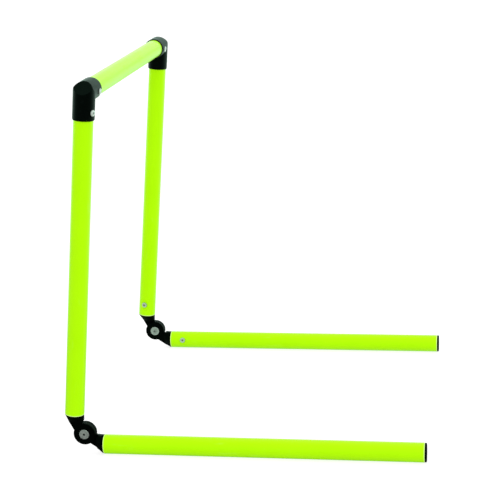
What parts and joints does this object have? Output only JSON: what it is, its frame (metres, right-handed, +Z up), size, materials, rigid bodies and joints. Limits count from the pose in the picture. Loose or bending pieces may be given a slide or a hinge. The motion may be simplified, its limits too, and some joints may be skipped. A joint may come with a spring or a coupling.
{
  "type": "agility hurdle",
  "caption": "Folding agility hurdle of neon green plastic tube: a crossbar on leaning posts with black corner elbows, and long feet that fold up on black riveted knuckle hinges.",
  "frame": {"origin": "middle of the footprint of the whole part, on the floor", "axes": "+Z up, +X along the feet to their free ends, +Y along the crossbar"},
  "size_m": [0.4666, 0.4592, 0.4871],
  "materials": {
    "tube_plastic": "satin neon yellow-green extruded tube",
    "fitting_plastic": "black injection moulding, fine grain",
    "zinc_steel": "zinc plated"
  },
  "bodies": {
    "frame": {"crossbar_tube": "tube_plastic", "left_upright_tube": "tube_plastic", "right_upright_tube": "tube_plastic", "left_elbow": "fitting_plastic", "right_elbow": "fitting_plastic", "left_elbow_bar_screw": "zinc_steel", "right_elbow_bar_screw": "zinc_steel", "left_elbow_post_screw": "zinc_steel", "right_elbow_post_screw": "zinc_steel", "left_upper_knuckle": "fitting_plastic", "right_upper_knuckle": "fitting_plastic", "left_upper_knuckle_screw": "zinc_steel", "right_upper_knuckle_screw": "zinc_steel", "left_pivot_rivet": "zinc_steel", "right_pivot_rivet": "zinc_steel", "left_pivot_washer": "zinc_steel", "right_pivot_washer": "zinc_steel"},
    "left_foot": {"left_foot_tube": "tube_plastic", "left_lower_knuckle": "fitting_plastic", "left_lower_knuckle_screw": "zinc_steel", "left_foot_end_cap": "fitting_plastic"},
    "right_foot": {"right_foot_tube": "tube_plastic", "right_lower_knuckle": "fitting_plastic", "right_lower_knuckle_screw": "zinc_steel", "right_foot_end_cap": "fitting_plastic"}
  },
  "joints": [
    {"name": "left_foot_fold", "type": "hinge", "parent": "frame", "child": "left_foot", "pos_m": [-0.20831, -0.2156, 0.0275], "axis": [0, -1, 0], "range_deg": [-95.4, 84.6]},
    {"name": "right_foot_fold", "type": "hinge", "parent": "frame", "child": "right_foot", "pos_m": [-0.20831, 0.2156, 0.0275], "axis": [0, -1, 0], "range_deg": [-95.4, 84.6]}
  ]
}
